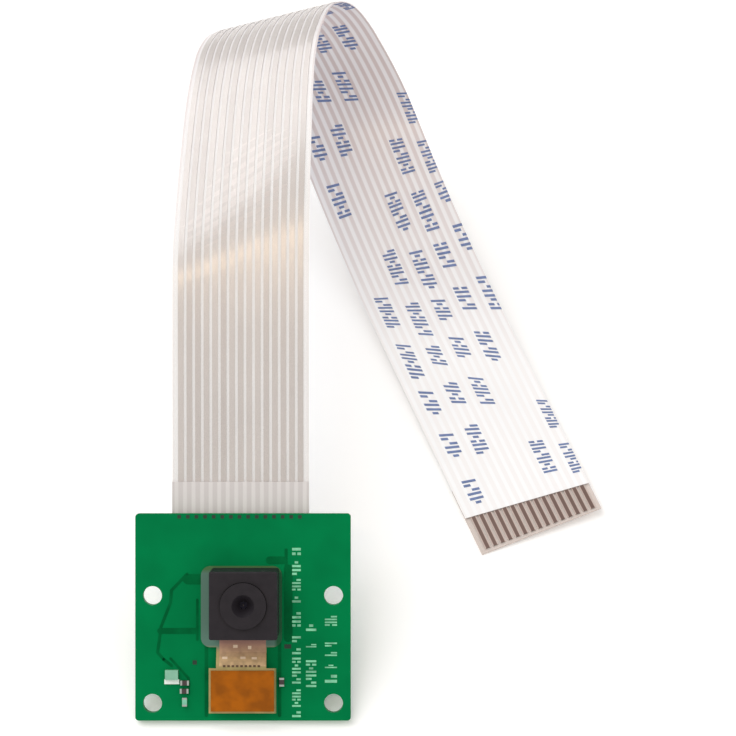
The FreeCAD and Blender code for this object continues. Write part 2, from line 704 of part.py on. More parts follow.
def contact_profile():
    """A sprung contact seen from its side: solder tail, riser, beam and tip."""
    low = size("housing_low")
    end = low + size("seat_depth") - size("seat_room")
    deep = -(size("housing_back") - size("slot_back"))
    touch = -(size("seat_back") + size("conductor_thickness") / 2)
    metal = size("leg_thickness")
    gap = size("latch_gap")
    riser = end - 3 * metal
    beam = deep + 3 * metal
    tip = low + size("housing_depth") - 4 * metal
    return [
        (low - size("leg_reach"), 0.0),
        (end - metal, 0.0),
        (end - metal, beam),
        (tip - 5 * metal, beam),
        (tip - 3 * metal, touch - gap / 5),
        (tip - metal, touch - gap / 5),
        (tip, beam - metal / 2),
        (tip, deep + gap),
        (riser, deep + gap),
        (riser, -metal),
        (low - size("leg_reach"), -metal),
    ]


# The sprung contacts, one to each conductor, which reach from the board to the ribbon.
contacts = []
profile = [Vector(0, y, z) for y, z in contact_profile()]
blade = Part.Face(Part.makePolygon(profile + profile[:1]))
blade = blade.extrude(Vector(size("contact_width"), 0, 0))
for way in range(int(size("ways"))):
    x = size("ribbon_shift") + (way - (size("ways") - 1) / 2) * size("pitch")
    copy = blade.copy()
    copy.translate(Vector(x - size("contact_width") / 2, 0, 0))
    contacts.append(copy)
contact_row = doc.addObject("Part::Feature", "contact_row")
contact_row.Shape = Part.makeCompound(contacts)
node(contact_row, "connector_contacts")

# The anchors that hold the housing's ends down.
anchors = [
    block(
        f"anchor_{side + 1}",
        (
            f"{RIBBON_X} + {side} * ({HOUSING_WIDTH} + sizes.anchor_width) / 2",
            f"sizes.housing_low + sizes.anchor_height / 2",
        ),
        "sizes.anchor_width", "sizes.anchor_height", "-sizes.anchor_thickness",
        "sizes.anchor_thickness",
    )
    for side in (-1, 1)
]
node(group("anchors", anchors), "connector_anchors")


def chip(name, middle, turned, rise, front):
    """A chip part's body and its two metal caps, on the board's front or its back."""
    caps = []
    low = FRONT if front else f"-({rise})"
    body_length = "sizes.chip_length - 2 * sizes.cap_length"
    length, width = (
        ("sizes.chip_width", body_length) if turned else (body_length, "sizes.chip_width")
    )
    body = block(f"{name}_body", middle, length, width, low, rise)
    for side in (-1, 1):
        shift = f"{side} * (sizes.chip_length - sizes.cap_length) / 2"
        place = (
            (middle[0], f"{middle[1]} + {shift}") if turned
            else (f"{middle[0]} + {shift}", middle[1])
        )
        length, width = (
            ("sizes.chip_width", "sizes.cap_length") if turned
            else ("sizes.cap_length", "sizes.chip_width")
        )
        caps.append(block(f"{name}_cap_{side + 1}", place, length, width, low, rise))
    return body, caps


# Chip parts: where each one's middle is on the board, and whether it stands up the board.
FRONT_CAPACITORS = (("-6.75", "2.2", True),)
FRONT_RESISTORS = (("-6.75", "4.4", False), ("-6.8", "3.45", False), ("4.5", "4.5", True))
BACK_CAPACITORS = (
    ("-3.6", "9.6", True), ("-3.6", "5.6", True), ("-10.6", "9.6", True), ("-10.6", "5.6", True),
    ("0.6", "13.4", False), ("2.4", "13.4", False), ("4.2", "13.4", False), ("6.0", "13.4", False),
    ("3.4", "9.2", True), ("3.4", "6.6", True),
)
BACK_RESISTORS = (
    ("-1.6", "13.4", False), ("-3.4", "13.4", False), ("-5.2", "13.4", False),
    ("0.2", "9.2", True), ("1.4", "9.2", True),
)
for kind, rise, front_list, back_list in (
    ("capacitor", "sizes.chip_rise", FRONT_CAPACITORS, BACK_CAPACITORS),
    ("resistor", "sizes.resistor_rise", FRONT_RESISTORS, BACK_RESISTORS),
):
    for face, places in (("front", front_list), ("back", back_list)):
        bodies = []
        all_caps = []
        for number, (x, y, turned) in enumerate(places):
            made, caps = chip(f"{face}_{kind}_{number}", (x, y), turned, rise, face == "front")
            bodies.append(made)
            all_caps += caps
        node(group(f"{face}_{kind}_bodies", bodies), f"{face}_{kind}s")
        node(group(f"{face}_{kind}_ends", all_caps), f"{face}_{kind}_caps")

# The indicator lamp: its moulded body, and the solder terminal at its lower side.
LED = ("-sizes.board_width / 2 + 4.25", "5.35")
node(
    block("led_body", LED, "sizes.led_length", "sizes.led_width", FRONT, "sizes.led_rise"),
    "indicator_led",
)
node(
    block(
        "led_foot", (LED[0], f"{LED[1]} - (sizes.led_width + sizes.chip_width) / 2"),
        "sizes.led_length + sizes.cap_length", "sizes.chip_width", FRONT, "sizes.led_rise / 3",
    ),
    "led_terminal",
)

# The two voltage regulators on the back, each with three legs at one side and two at the other.
REGULATORS = (("-7.2", "9.6"), ("-7.2", "4.6"))
for number, middle in enumerate(REGULATORS, 1):
    moulding = doc.addObject("Part::Wedge", f"regulator_moulding_{number}")
    half_length = "sizes.regulator_length / 2"
    half_width = "sizes.regulator_width / 2"
    draft = "sizes.leg_thickness"
    bind(moulding, {
        "Xmin": f"-{half_length}", "Xmax": half_length,
        "Zmin": f"-{half_width}", "Zmax": half_width,
        "X2min": f"-{half_length} + {draft}", "X2max": f"{half_length} - {draft}",
        "Z2min": f"-{half_width} + {draft}", "Z2max": f"{half_width} - {draft}",
        "Ymin": "0", "Ymax": "sizes.regulator_rise",
    })
    # the wedge grows along its own Y, which points away from the board's back
    moulding.Placement = FreeCAD.Placement(
        Vector(0, 0, 0), FreeCAD.Rotation(Vector(1, 0, 0), -90)
    )
    bind(moulding, {"Placement.Base.x": middle[0], "Placement.Base.y": middle[1]})
    node(group(f"regulator_{number}_group", [moulding]), f"voltage_regulator_{number}")


def leg_shape(x, y, side):
    """A gull-wing leg: a foot on the board, a slope and a shoulder in the moulding's side."""
    metal = size("leg_thickness")
    reach = size("leg_reach")
    shoulder = size("regulator_rise") / 2
    line = [
        (0.0, -shoulder),
        (reach * 0.35, -shoulder),
        (reach * 0.6, -metal),
        (reach, -metal),
        (reach, 0.0),
        (reach * 0.45, 0.0),
        (reach * 0.2, -shoulder + metal),
        (0.0, -shoulder + metal),
    ]
    start = y + side * (size("regulator_width") / 2)
    corners = [Vector(x - size("leg_width") / 2, start + side * out, z) for out, z in line]
    face = Part.Face(Part.makePolygon(corners + corners[:1]))
    return face.extrude(Vector(size("leg_width"), 0, 0))


legs = []
for x, y in REGULATORS:
    for side, ways in ((-1, (-1, 0, 1)), (1, (-1, 1))):
        for way in ways:
            legs.append(leg_shape(float(x) + way * size("leg_pitch"), float(y), side))
leg_row = doc.addObject("Part::Feature", "leg_row")
leg_row.Shape = Part.makeCompound(legs)
node(leg_row, "regulator_legs")

# The oscillator: a ceramic base with a metal lid, and the ferrite bead beside it.
OSCILLATOR = ("6.6", "9.0")
node(
    block(
        "oscillator_block", OSCILLATOR, "sizes.oscillator_length", "sizes.oscillator_width",
        "-sizes.oscillator_rise", "sizes.oscillator_rise",
    ),
    "oscillator_base",
)
lid_body = doc.addObject("PartDesign::Body", "lid_body")
lid_outline = rectangle(
    lid_body, "lid_outline", OSCILLATOR, "sizes.oscillator_length - 2 * sizes.lid_border",
    "sizes.oscillator_width - 2 * sizes.lid_border", "-sizes.oscillator_rise - sizes.lid_rise",
)
lid_pad = pad(lid_body, "lid_pad", lid_outline, "sizes.lid_rise")
round_edges(lid_body, "lid_corners", lid_pad, edges_where(lid_pad, upright), "sizes.lid_border")
node(lid_body, "oscillator_lid")
node(
    block(
        "bead", ("6.6", "5.2"), "sizes.bead_length", "sizes.bead_width", "-sizes.bead_rise",
        "sizes.bead_rise",
    ),
    "ferrite_bead",
)

doc.recompute()

# The ribbon's route, by hand, in the table's frame: it starts in the connector, rises in the
# board's plane, rolls back over a crest and comes down to lie on the table.
frame_back = board.Placement.Base.y
up_board = Vector(0, math.cos(math.radians(size("board_tilt"))),
                  math.sin(math.radians(size("board_tilt"))))
off_board = Vector(0, -up_board.z, up_board.y)
SEAT_RUN = 11.4
seat_start = Vector(size("ribbon_shift"), frame_back, 0)
seat_start += up_board * (size("housing_low") + size("seat_depth"))
seat_start -= off_board * size("seat_back")
ROUTE = [
    seat_start,
    seat_start + up_board * SEAT_RUN,
    Vector(-0.4, 27.45, 22.6),
    Vector(-0.4, 43.55, 32.0),
    Vector(0.8, 65.65, 35.3),
    Vector(5.4, 75.55, 25.5),
    Vector(10.5, 73.15, 14.5),
    Vector(17.6, 57.15, 6.3),
    Vector(24.8, 41.45, 0.8),
    Vector(35.8, 13.95, 0.8),
]
SLIGHT_TURN = math.radians(9.0)
FACET_TURN = math.radians(14.0)
REACH = 0.45
FOLD_GAP = 0.3


def unit(vector):
    """The same direction, one millimetre long."""
    return Vector(vector) / vector.Length


def turned_about(vector, axis, angle):
    """A vector turned about an axis."""
    return FreeCAD.Rotation(axis, math.degrees(angle)).multVec(vector)


def ribbon_half_width():
    """The ribbon is one pitch wider than its row of conductors."""
    return (size("ways") + 1) * size("pitch") / 2


def ribbon_folds(route):
    """How the sheet bends at each corner of the route: its run before and after, the vector
    across it, how far its fold leans along the run, and how much room the bend has.

    At each corner the sheet bends round a line that lies in it. That line leans so that the
    sheet stays flat on both sides of the bend, as an unstretched strip must.
    """
    across = Vector(1, 0, 0)
    along = unit(route[1] - route[0])
    folds = []
    for before, corner, after in zip(route, route[1:], route[2:]):
        ahead = unit(after - corner)
        cosine = along.dot(ahead)
        turn = math.acos(cosine)
        fold_lean = across.dot(ahead) / (1 - cosine) if turn > SLIGHT_TURN else 0.0
        axis = unit(across + along * fold_lean)
        flat_before = along - axis * along.dot(axis)
        flat_after = ahead - axis * ahead.dot(axis)
        bend = math.atan2(axis.dot(flat_before.cross(flat_after)), flat_before.dot(flat_after))
        reach = REACH * min((corner - before).Length, (after - corner).Length)
        following = turned_about(across, axis, bend)
        following = unit(following - ahead * following.dot(ahead))
        # the fold's lean as it is seen from the run ahead
        lean_ahead = following.dot(along) / (cosine - 1) if turn > SLIGHT_TURN else 0.0
        folds.append({
            "corner": corner, "along": along, "ahead": ahead, "across": across, "turn": turn,
            "lean": fold_lean, "lean_ahead": lean_ahead, "axis": axis, "bend": bend,
            "reach": reach,
        })
        across = following
        along = ahead
    # two bends keep apart at the edges of the ribbon as well as along its middle
    half = ribbon_half_width()
    for fold, following in zip(folds, folds[1:]):
        run = (following["corner"] - fold["corner"]).Length
        room = run - half * abs(following["lean"] - fold["lean_ahead"]) - FOLD_GAP
        share = room / (fold["reach"] + following["reach"])
        if share < 1:
            fold["reach"] *= share
            following["reach"] *= share
    return folds, across


def ribbon_stations(route):
    """Straight lines across the ribbon, in order along it, each as the middle, the vector to
    its edge for each millimetre of half width, and the outward normal of its stiffened side.
    """
    folds, last_across = ribbon_folds(route)
    first = folds[0]
    stations = [(route[0], first["across"], first["across"].cross(first["along"]))]
    radii = []
    for fold in folds:
        along, ahead, turn = fold["along"], fold["ahead"], fold["turn"]
        radius = fold["reach"] / math.tan(turn / 2)
        radii.append(radius)
        ruling = fold["across"] + along * fold["lean"]
        inward = unit(ahead - along * math.cos(turn))
        start = fold["corner"] - along * fold["reach"]
        normal = fold["across"].cross(along)
        facets = max(1, math.ceil(abs(fold["bend"]) / FACET_TURN))
        for step in range(facets + 1):
            share = step / facets
            arc = turn * share
            middle = start + along * radius * math.sin(arc) + inward * radius * (1 - math.cos(arc))
            turned = turned_about(normal, fold["axis"], fold["bend"] * share)
            stations.append((middle, Vector(ruling), turned))
    last_along = unit(route[-1] - route[-2])
    stations.append((route[-1], last_across, last_across.cross(last_along)))
    return stations, radii


stations, radii = ribbon_stations(ROUTE)
print("bend radii", [round(radius, 1) for radius in radii])


def station_lengths():
    """How far along the ribbon each station's middle is."""
    lengths = [0.0]
    for before, after in zip(stations, stations[1:]):
        lengths.append(lengths[-1] + (after[0] - before[0]).Length)
    return lengths


lengths = station_lengths()
ribbon_length = lengths[-1]
print("ribbon length", round(ribbon_length, 1))


def stretch(start, end):
    """The stations from one length along the ribbon to another, square at both ends."""
    picked = []
    for distance in (start, end):
        index = max(i for i in range(len(lengths) - 1) if lengths[i] <= distance + 1e-9)
        before, after = stations[index], stations[index + 1]
        share = (distance - lengths[index]) / (lengths[index + 1] - lengths[index])
        along = unit(after[0] - before[0])
        normal = before[2]
        picked.append((before[0] + (after[0] - before[0]) * share, along.cross(normal), normal))
    between = [
        station for station, length in zip(stations, lengths)
        if start + 1e-6 < length < end - 1e-6
    ]
    return [picked[0]] + between + [picked[1]]


def flat_faces(corners):
    """A face on four corners, or two where the four don't lie in one plane."""
    a, b, c, d = corners
    normal = (b - a).cross(d - a)
    if abs((c - a).dot(unit(normal))) < 1e-7:
        return [Part.Face(Part.makePolygon([a, b, c, d, a]))]
    return [
        Part.Face(Part.makePolygon([a, b, c, a])),
        Part.Face(Part.makePolygon([a, c, d, a])),
    ]


def strip(start, end, left, right, low, high):
    """A layer of the ribbon: a solid that follows it from one length to another, between two
    distances across it and two distances off its middle."""
    rings = [
        [
            middle + ruling * side + normal * lift
            for side, lift in ((left, low), (right, low), (right, high), (left, high))
        ]
        for middle, ruling, normal in stretch(start, end)
    ]
    faces = flat_faces(rings[0]) + flat_faces(rings[-1])
    for ring, following in zip(rings, rings[1:]):
        for side in range(4):
            other = (side + 1) % 4
            faces += flat_faces([ring[side], ring[other], following[other], following[side]])
    shell = Part.makeShell(faces)
    shell.sewShape()
    solid = Part.makeSolid(shell)
    if solid.Volume < 0:
        solid.reverse()
    return solid


def ribbon_piece(name, shapes):
    """A layer or part of the ribbon, in a node of its own."""
    piece = doc.addObject("Part::Feature", name)
    piece.Shape = shapes[0] if len(shapes) == 1 else Part.makeCompound(shapes)
    return node(piece, name, on_board=False)


# The ribbon: two films with flat conductors between them, bare at both ends on one side, and
# a stiffener on the other side of each end.
half_width = ribbon_half_width()
core = size("conductor_thickness") / 2
outside = core + size("film_thickness")
bare = size("bare_length")
lead = size("stiffener_lead")
ribbon_piece("ribbon_film_front", [
    strip(0, ribbon_length, -half_width, half_width, core, outside),
])
ribbon_piece("ribbon_film_back", [
    strip(bare, ribbon_length - lead - bare, -half_width, half_width, -outside, -core),
])
conductors = []
for way in range(int(size("ways"))):
    middle = (way - (size("ways") - 1) / 2) * size("pitch")
    left = middle - size("conductor_width") / 2
    conductors.append(
        strip(0, ribbon_length - lead, left, left + size("conductor_width"), -core, core)
    )
ribbon_piece("ribbon_conductors", conductors)
stiff = outside + size("stiffener_thickness")
ribbon_piece("ribbon_stiffener_near", [
    strip(0, size("stiffener_length"), -half_width, half_width, outside, stiff),
])
ribbon_piece("ribbon_stiffener_far", [
    strip(
        ribbon_length - size("stiffener_length"), ribbon_length, -half_width, half_width,
        outside, stiff,
    ),
])

doc.recompute()
for piece in doc.Objects:
    if "Invalid" in piece.State or "Error" in piece.State:
        raise RuntimeError(f"{piece.Label} failed: {piece.State}")
for piece in nodes:
    if piece.Shape.isNull() or not piece.Shape.isValid():
        raise RuntimeError(f"{piece.Label} has no valid shape")
    if not piece.Shape.Solids or min(solid.Volume for solid in piece.Shape.Solids) <= 0:
        raise RuntimeError(f"{piece.Label} is not made of closed solids")

os.makedirs("parts", exist_ok=True)
for piece in nodes:
    piece.Shape.exportStep(f"parts/{piece.Label}.step")
low_point, lowest = min((piece.Shape.BoundBox.ZMin, piece.Label) for piece in nodes)
print(len(nodes), "nodes, lowest point", round(low_point, 3), "of", lowest)
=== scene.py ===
import bmesh
import bpy
import json
import math

from mathutils import Matrix, Quaternion, Vector


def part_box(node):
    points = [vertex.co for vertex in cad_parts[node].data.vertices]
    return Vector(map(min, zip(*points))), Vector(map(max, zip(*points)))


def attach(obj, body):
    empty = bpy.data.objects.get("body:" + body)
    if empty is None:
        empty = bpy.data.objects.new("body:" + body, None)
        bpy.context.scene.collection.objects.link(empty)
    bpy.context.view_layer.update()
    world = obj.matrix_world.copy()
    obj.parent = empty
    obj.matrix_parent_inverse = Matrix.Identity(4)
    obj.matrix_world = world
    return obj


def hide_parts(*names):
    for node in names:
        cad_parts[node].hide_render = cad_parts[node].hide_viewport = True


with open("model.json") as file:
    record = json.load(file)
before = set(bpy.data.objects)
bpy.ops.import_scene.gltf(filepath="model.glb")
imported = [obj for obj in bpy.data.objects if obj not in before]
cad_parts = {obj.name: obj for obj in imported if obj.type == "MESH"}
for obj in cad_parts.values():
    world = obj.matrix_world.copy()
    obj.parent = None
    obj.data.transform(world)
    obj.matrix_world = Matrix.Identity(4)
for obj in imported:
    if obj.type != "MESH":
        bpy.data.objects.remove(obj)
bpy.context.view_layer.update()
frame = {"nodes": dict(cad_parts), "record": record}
nodes = frame["nodes"]
MM = 0.001

# The board's own frame: X along its lower edge, UP the board and OUT of its front. The board
# leans back on its lower edge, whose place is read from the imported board.
TILT = math.radians(32.0)
RIGHT = Vector((1, 0, 0))
UP = Vector((0, math.cos(TILT), math.sin(TILT)))
OUT = Vector((0, -math.sin(TILT), math.cos(TILT)))
board_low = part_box("circuit_board")[0]
BOARD_THICKNESS = 1.0
BACK_EDGE = Vector((0, board_low.y + BOARD_THICKNESS * MM * math.sin(TILT), 0))


def on_board(x, y, z):
    """A point given in the board's own frame in millimetres, as one in the part's in metres."""
    return BACK_EDGE + (RIGHT * x + UP * y + OUT * z) * MM


# The camera looks square at the board's front, from above and a little to the right, so the
# ribbon's loop towers over the board and its far end comes forward at the right.
VIEW_POINT = (14.5, 40.9)
VIEW_DISTANCE = 240.0
IMAGE_SIDE = 736
FOCAL_PIXELS = 2069
SENSOR_SIDE = 36.0
NEAREST_SEEN = 0.01
camera_data = bpy.data.cameras.new("photo_camera")
camera_data.sensor_width = SENSOR_SIDE
camera_data.lens = SENSOR_SIDE * FOCAL_PIXELS / IMAGE_SIDE
camera_data.clip_start = NEAREST_SEEN
camera = bpy.data.objects.new("photo_camera", camera_data)
bpy.context.scene.collection.objects.link(camera)
camera_place = on_board(*VIEW_POINT, VIEW_DISTANCE + BOARD_THICKNESS)
camera_turn = Matrix((RIGHT, UP, OUT)).transposed().to_4x4()
camera.matrix_world = Matrix.Translation(camera_place) @ camera_turn
bpy.context.scene.camera = camera


# The ribbon's route: control points of one smooth line down the middle of the ribbon. It
# starts in the connector, rises in the board's plane, rolls back over a crest and comes down
# to lie on the table, and the photograph shows all of it.
RIBBON_X = -0.4
SEAT_UP = 19.6
SEAT_BACK = 1.3
SEAT_RUN = 11.4
seat = on_board(RIBBON_X, SEAT_UP, -SEAT_BACK)
ROUTE = [
    seat,
    seat + UP * SEAT_RUN * MM,
    Vector((RIBBON_X, 27.45, 22.6)) * MM,
    Vector((RIBBON_X, 43.55, 32.0)) * MM,
    Vector((0.8, 65.65, 35.3)) * MM,
    Vector((5.4, 75.55, 25.5)) * MM,
    Vector((10.5, 73.15, 14.5)) * MM,
    Vector((17.6, 57.15, 6.3)) * MM,
    Vector((24.8, 41.45, 0.8)) * MM,
    Vector((35.8, 13.95, 0.8)) * MM,
]
STEPS = 14
SLIGHT_TURN = math.radians(9.0)

route_curve = bpy.data.curves.new("ribbon_route", "CURVE")
route_curve.dimensions = "3D"
route_curve.resolution_u = STEPS
spline = route_curve.splines.new("NURBS")
spline.points.add(len(ROUTE) - 1)
for point, control in zip(spline.points, ROUTE):
    point.co = (*control, 1.0)
spline.order_u = 3
spline.use_endpoint_u = True
route_object = bpy.data.objects.new("ribbon_route", route_curve)
route_mesh = bpy.data.meshes.new_from_object(route_object)
line = [vertex.co.copy() for vertex in route_mesh.vertices]
bpy.data.objects.remove(route_object)


def corner_rulings(route):
    """The line across the ribbon at each corner of the route. It leans at a bend, so that the
    ribbon stays flat on both sides of it, as a strip that can't stretch must."""
    across = RIGHT.copy()
    along = (route[1] - route[0]).normalized()
    rulings = [across.copy()]
    for corner, after in zip(route[1:], route[2:]):
        ahead = (after - corner).normalized()
        cosine = along.dot(ahead)
        turn = math.acos(cosine)
        lean = across.dot(ahead) / (1 - cosine) if turn > SLIGHT_TURN else 0.0
        ruling = across + along * lean
        rulings.append(ruling)
        axis = ruling.normalized()
        before = along - axis * along.dot(axis)
        behind = ahead - axis * ahead.dot(axis)
        bend = math.atan2(axis.dot(before.cross(behind)), before.dot(behind))
        across = Quaternion(axis, bend) @ across
        across = (across - ahead * across.dot(ahead)).normalized()
        along = ahead
    return rulings + [across]


def ribbon_stations():
    """Points along the ribbon's middle, each with how far along it is, the vector across for
    each unit of width, and the normal of the side that faces the viewer at the board."""
    rulings = corner_rulings(ROUTE)
    spans = len(ROUTE) - 2
    stations = []
    distance = 0.0
    for number, middle in enumerate(line):
        place_on_line = number / (len(line) - 1) * spans
        span = min(int(place_on_line), spans - 1)
        share = place_on_line - span
        start = rulings[0] if span == 0 else (rulings[span] + rulings[span + 1]) / 2
        end = rulings[-1] if span == spans - 1 else (rulings[span + 1] + rulings[span + 2]) / 2
        peak = rulings[span + 1]
        if share < 0.5:
            ruling = start.lerp(peak, share * 2)
        else:
            ruling = peak.lerp(end, share * 2 - 1)
        before = line[max(number - 1, 0)]
        after = line[min(number + 1, len(line) - 1)]
        along = (after - before).normalized()
        ruling = ruling / (ruling - along * ruling.dot(along)).length
        if number:
            distance += (middle - line[number - 1]).length
        stations.append((distance, middle, ruling, ruling.cross(along).normalized()))
    return stations


stations = ribbon_stations()
RIBBON_LENGTH = stations[-1][0]


def station_at(distance):
    """The ribbon's middle, vector across and normal at a distance along it."""
    for before, after in zip(stations, stations[1:]):
        if distance <= after[0]:
            break
    share = (distance - before[0]) / (after[0] - before[0])
    return [before[part].lerp(after[part], share) for part in (1, 2, 3)]


# The ribbon's clear film, bright and glossy, over its whole length on the side that faces the
# viewer at the board. Two films are laminated flat over flat conductors, with a little glue
# between the layers, and the strip bends freely.
PITCH = 1.0 * MM
WAYS = 15
HALF_WIDTH = (WAYS + 1) * PITCH / 2
CORE = 0.05 * MM
OUTSIDE = 0.15 * MM
GLUE = 0.012 * MM
SAME_STATION = 0.01 * MM


def long_block(bm, spans):
    """Adds a block of one unit each way, cut into even spans along Y, and gives for each of its
    vertices how far it is across, along and up the block, from 0 to 1."""
    first = len(bm.verts)
    vertices = bmesh.ops.create_cube(bm, size=1.0)["verts"]
    if spans > 1:
        edges = dict.fromkeys(edge for vertex in vertices for edge in vertex.link_edges)
        lengthwise = [edge for edge in edges if edge.verts[0].co.y != edge.verts[1].co.y]
        bmesh.ops.subdivide_edges(bm, edges=lengthwise, cuts=spans - 1, use_grid_fill=True)
        # the cut makes every vertex anew, so the block's are found by their place in the list
        vertices = list(bm.verts)[first:]
    middle = Vector((0.5, 0.5, 0.5))
    return {vertex: vertex.co + middle for vertex in vertices}


def add_strip(bm, uv, start, end, left, right, low, high):
    """Adds a closed layer that follows the ribbon between two distances along it. Its map holds
    metres across and along the ribbon."""
    between = [s[0] for s in stations if start + SAME_STATION < s[0] < end - SAME_STATION]
    distances = [start] + between + [end]
    spans = len(distances) - 1
    frames = [station_at(distance) for distance in distances]
    shares = long_block(bm, spans)
    on_map = {}
    for vertex, (across, along, up) in shares.items():
        number = round(along * spans)
        middle, ruling, normal = frames[number]
        width = left + (right - left) * across
        vertex.co = middle + ruling * width + normal * (low + (high - low) * up)
        on_map[vertex] = (width, distances[number])
    for face in {face for vertex in shares for face in vertex.link_faces}:
        face.smooth = len({round(shares[vertex].z) for vertex in face.verts}) == 1
        for loop in face.loops:
            loop[uv].uv = on_map[loop.vert]
    # the four long edges stay sharp, so that each face of the thin layer shades flat
    for edge in {edge for vertex in shares for edge in vertex.link_edges}:
        one, other = (shares[vertex] for vertex in edge.verts)
        edge.smooth = abs(one.x - other.x) + abs(one.z - other.z) > 0.5


def new_piece(name, bm, material):
    """Puts a finished shape in the scene with its faces outwards, riding on the module."""
    bmesh.ops.recalc_face_normals(bm, faces=bm.faces)
    mesh = bpy.data.meshes.new(name)
    bm.to_mesh(mesh)
    bm.free()
    mesh.materials.append(material)
    piece = bpy.data.objects.new(name, mesh)
    bpy.context.scene.collection.objects.link(piece)
    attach(piece, "module")
    return piece


def ribbon_layer(name, strips, material):
    """A piece made of one or more layers that follow the ribbon."""
    bm = bmesh.new()
    uv = bm.loops.layers.uv.new("ribbon")
    for strip in strips:
        add_strip(bm, uv, *strip)
    return new_piece(name, bm, material)


def mixed_color(material, color, factor):
    """Mixes a colour over what a material shows, by the value of a factor socket."""
    tree = material.node_tree
    base = tree.nodes["Principled BSDF"].inputs["Base Color"]
    mix = tree.nodes.new("ShaderNodeMix")
    mix.data_type = "RGBA"
    if base.is_linked:
        tree.links.new(base.links[0].from_socket, mix.inputs["A"])
    else:
        mix.inputs["A"].default_value = base.default_value
    mix.inputs["B"].default_value = (*color, 1.0)
    tree.links.new(factor, mix.inputs["Factor"])
    tree.links.new(mix.outputs["Result"], base)


def ranged(material, value, low, high, low_result=0.0, high_result=1.0):
    """A value socket moved from one range to another."""
    spread = material.node_tree.nodes.new("ShaderNodeMapRange")
    spread.inputs["From Min"].default_value = low
    spread.inputs["From Max"].default_value = high
    spread.inputs["To Min"].default_value = low_result
    spread.inputs["To Max"].default_value = high_result
    material.node_tree.links.new(value, spread.inputs["Value"])
    return spread.outputs["Result"]


NOISE_LOW = 0.35
NOISE_HIGH = 0.65
LEAST_ROUGHNESS = 0.02
GRAINS_IN_CELL = 12
GRAIN_DEPTH = 0.02 * MM


def new_material(
    name, color, roughness=0.5, metallic=0.0, mottle=0.08, uneven=0.05, cell=1.1, grain=0.0, **more
):
    """A principled material with other inputs by name. Its colour is mottled and its gloss
    uneven, in patches of a cell's size in millimetres, and a grain roughens its face."""
    material = bpy.data.materials.new(name)
    material.use_nodes = True
    tree = material.node_tree
    shader = tree.nodes["Principled BSDF"]
    shader.inputs["Base Color"].default_value = (*(min(c * (1 + mottle), 1.0) for c in color), 1.0)
    shader.inputs["Metallic"].default_value = metallic
    for key, value in more.items():
        shader.inputs[key.replace("_", " ")].default_value = value
    coords = tree.nodes.new("ShaderNodeTexCoord")
    noise = tree.nodes.new("ShaderNodeTexNoise")
    noise.inputs["Scale"].default_value = 1 / (cell * MM)
    tree.links.new(coords.outputs["Object"], noise.inputs["Vector"])
    patches = noise.outputs["Fac"]
    darker = [c * (1 - mottle) for c in color]
    mixed_color(material, darker, ranged(material, patches, NOISE_LOW, NOISE_HIGH))
    gloss = ranged(
        material, patches, NOISE_LOW, NOISE_HIGH,
        max(roughness - uneven, LEAST_ROUGHNESS), roughness + uneven,
    )
    tree.links.new(gloss, shader.inputs["Roughness"])
    if grain:
        speckle = tree.nodes.new("ShaderNodeTexNoise")
        speckle.inputs["Scale"].default_value = GRAINS_IN_CELL / (cell * MM)
        bump = tree.nodes.new("ShaderNodeBump")
        bump.inputs["Strength"].default_value = grain
        bump.inputs["Distance"].default_value = GRAIN_DEPTH
        tree.links.new(coords.outputs["Object"], speckle.inputs["Vector"])
        tree.links.new(speckle.outputs["Fac"], bump.inputs["Height"])
        tree.links.new(bump.outputs["Normal"], shader.inputs["Normal"])
    return material


FILM = {"mottle": 0.015, "uneven": 0.01, "cell": 6.0}
clear_film = new_material("clear_film", (0.92, 0.9, 0.88), 0.2, Alpha=0.14, **FILM)
clear_side = ribbon_layer(
    "ribbon_clear_side",
    [(0, RIBBON_LENGTH, -HALF_WIDTH, HALF_WIDTH, CORE + GLUE, OUTSIDE)], clear_film,
)
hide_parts("ribbon_film_front")

# The white film on the ribbon's other side, opaque and cut back so that the contacts are bare
# at both ends. The conductors show as faint stripes in it. Near the crest it is painted darker,
# with stronger stripes: painted shade where the bent film faces away from the light.
BARE = 4.0 * MM
LEAD = 0.4 * MM
STRIPE_BLUR = 0.06
STRIPE_SHARE = 0.55
CREST_STRIPE_SHARE = 0.5
CREST_SHADE_COMES = (40.0 * MM, 70.0 * MM)
CREST_SHADE_GOES = (88.0 * MM, 130.0 * MM)
far_bare = RIBBON_LENGTH - LEAD - BARE


def ribbon_map(material):
    """How far across and along the ribbon a point is, as two value sockets."""
    tree = material.node_tree
    uv = tree.nodes.new("ShaderNodeUVMap")
    uv.uv_map = "ribbon"
    split = tree.nodes.new("ShaderNodeSeparateXYZ")
    tree.links.new(uv.outputs["UV"], split.inputs["Vector"])
    return split.outputs["X"], split.outputs["Y"]


def computed(material, operation, value, other):
    """A value socket after one step of arithmetic with a number or another socket."""
    step = material.node_tree.nodes.new("ShaderNodeMath")
    step.operation = operation
    material.node_tree.links.new(value, step.inputs[0])
    if isinstance(other, float):
        step.inputs[1].default_value = other
    else:
        material.node_tree.links.new(other, step.inputs[1])
    return step.outputs["Value"]


def off_conductor(material):
    """How far across the ribbon a point is from the middle of the nearest conductor."""
    across = ribbon_map(material)[0]
    return computed(material, "PINGPONG", across, PITCH / 2)


def striped(material, color, share, seen=None):
    """Gives a ribbon material stripes that run along it, one for each conductor, as strong as
    a value socket says where there is one."""
    edge = PITCH * share / 2
    blur = PITCH * STRIPE_BLUR
    stripe = ranged(material, off_conductor(material), edge + blur, edge - blur)
    if seen:
        stripe = computed(material, "MULTIPLY", stripe, seen)
    mixed_color(material, color, stripe)
    return material


